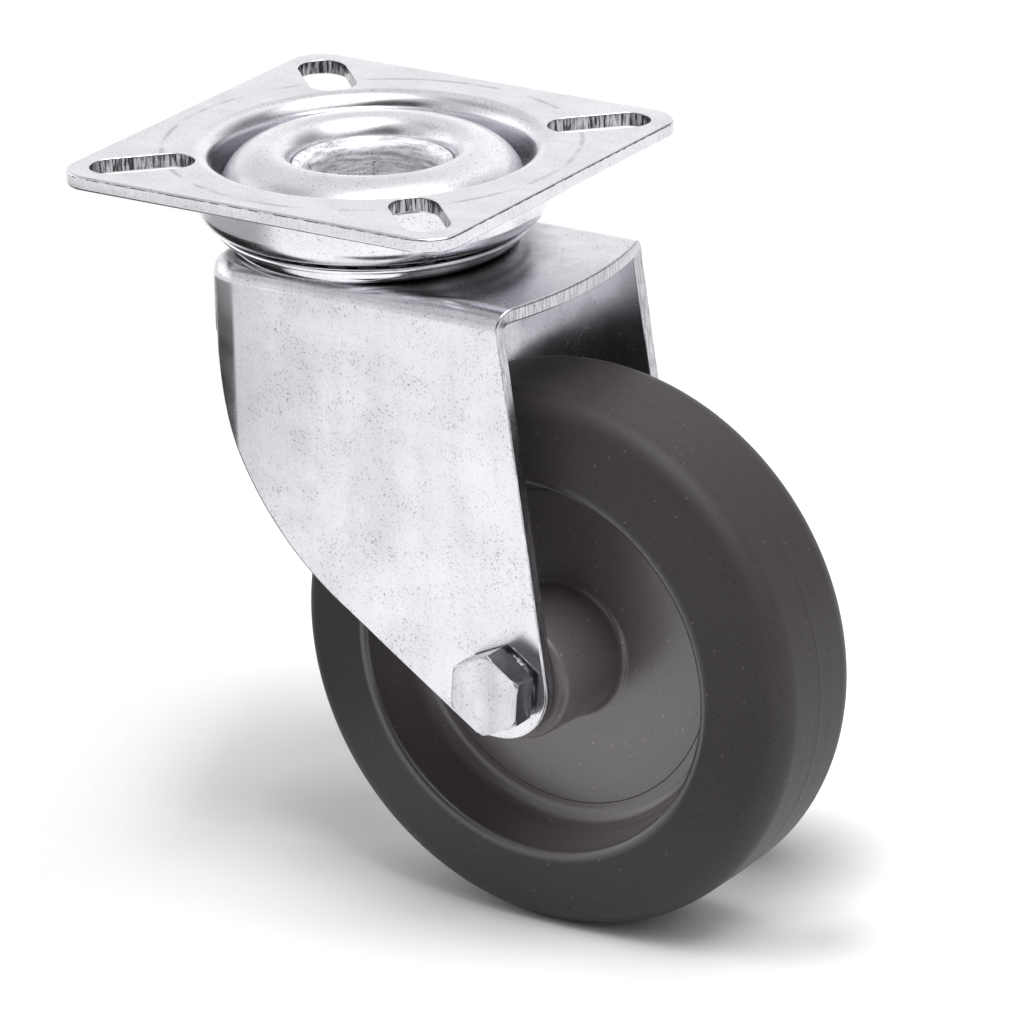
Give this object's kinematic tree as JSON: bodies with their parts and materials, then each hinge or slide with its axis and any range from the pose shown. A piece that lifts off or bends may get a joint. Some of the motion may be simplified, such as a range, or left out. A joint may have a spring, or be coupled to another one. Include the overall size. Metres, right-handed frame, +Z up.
{
  "type": "swivel castor",
  "caption": "Light swivel castor with a slotted square top plate, ball-bearing head, drawn steel fork and a one-piece moulded wheel on a bolted axle.",
  "frame": {"origin": "centre of the top plate's top face, on the swivel axis", "axes": "+Z up along the swivel axis, out of the plate's top face; +X the way the wheel trails at rest; Y along the wheel's axle, with the bolt's head at -Y"},
  "size_m": [0.0975, 0.06, 0.102],
  "materials": {
    "zinc_plate": "bright zinc plated sheet, fine speckle, semi-gloss",
    "zinc_cap": "bright zinc plated pressing, glossier than the plate",
    "zinc_pin": "zinc plated, streaked by the riveting tool",
    "zinc_fork": "bright zinc plated drawn sheet, fine speckle, satin",
    "race_steel": "bright zinc plated ring",
    "bolt_zinc": "bright zinc plated fastener",
    "tube_steel": "drawn steel tube",
    "ball_steel": "polished hardened steel",
    "wheel_plastic": "satin moulded plastic, dark grey",
    "nylon": "natural nylon"
  },
  "bodies": {
    "plate": {"top_plate": "zinc_plate"},
    "fork": {"swivel_cap": "zinc_cap", "hollow_kingpin": "zinc_pin", "lower_race": "race_steel", "fork": "zinc_fork", "axle_bolt": "bolt_zinc", "axle_nut": "bolt_zinc", "nut_insert": "nylon", "axle_tube": "tube_steel"},
    "wheel": {"wheel": "wheel_plastic"},
    "upper_row": {"upper_ball_1": "ball_steel", "upper_ball_2": "ball_steel", "upper_ball_3": "ball_steel", "upper_ball_4": "ball_steel", "upper_ball_5": "ball_steel", "upper_ball_6": "ball_steel", "upper_ball_7": "ball_steel", "upper_ball_8": "ball_steel", "upper_ball_9": "ball_steel", "upper_ball_10": "ball_steel", "upper_ball_11": "ball_steel", "upper_ball_12": "ball_steel", "upper_ball_13": "ball_steel", "upper_ball_14": "ball_steel", "upper_ball_15": "ball_steel", "upper_ball_16": "ball_steel", "upper_ball_17": "ball_steel", "upper_ball_18": "ball_steel", "upper_ball_19": "ball_steel"},
    "lower_row": {"lower_ball_1": "ball_steel", "lower_ball_2": "ball_steel", "lower_ball_3": "ball_steel", "lower_ball_4": "ball_steel", "lower_ball_5": "ball_steel", "lower_ball_6": "ball_steel", "lower_ball_7": "ball_steel", "lower_ball_8": "ball_steel", "lower_ball_9": "ball_steel", "lower_ball_10": "ball_steel", "lower_ball_11": "ball_steel", "lower_ball_12": "ball_steel", "lower_ball_13": "ball_steel", "lower_ball_14": "ball_steel", "lower_ball_15": "ball_steel", "lower_ball_16": "ball_steel", "lower_ball_17": "ball_steel", "lower_ball_18": "ball_steel", "lower_ball_19": "ball_steel", "lower_ball_20": "ball_steel", "lower_ball_21": "ball_steel", "lower_ball_22": "ball_steel", "lower_ball_23": "ball_steel", "lower_ball_24": "ball_steel"}
  },
  "joints": [
    {"name": "swivel", "type": "hinge", "parent": "plate", "child": "fork", "pos_m": [0, 0, 0], "axis": [0, 0, 1], "continuous": true},
    {"name": "wheel_spin", "type": "hinge", "parent": "fork", "child": "wheel", "pos_m": [0.03, 0, -0.0645], "axis": [0, 1, 0], "continuous": true},
    {"name": "upper_row_roll", "type": "hinge", "parent": "plate", "child": "upper_row", "pos_m": [0, 0, -0.00555], "axis": [0, 0, 1], "continuous": true},
    {"name": "lower_row_roll", "type": "hinge", "parent": "plate", "child": "lower_row", "pos_m": [0, 0, -0.011], "axis": [0, 0, 1], "continuous": true}
  ],
  "couplings": [
    {"joint": "upper_row_roll", "follows": "swivel", "ratio": 0.5},
    {"joint": "lower_row_roll", "follows": "swivel", "ratio": 0.5}
  ]
}
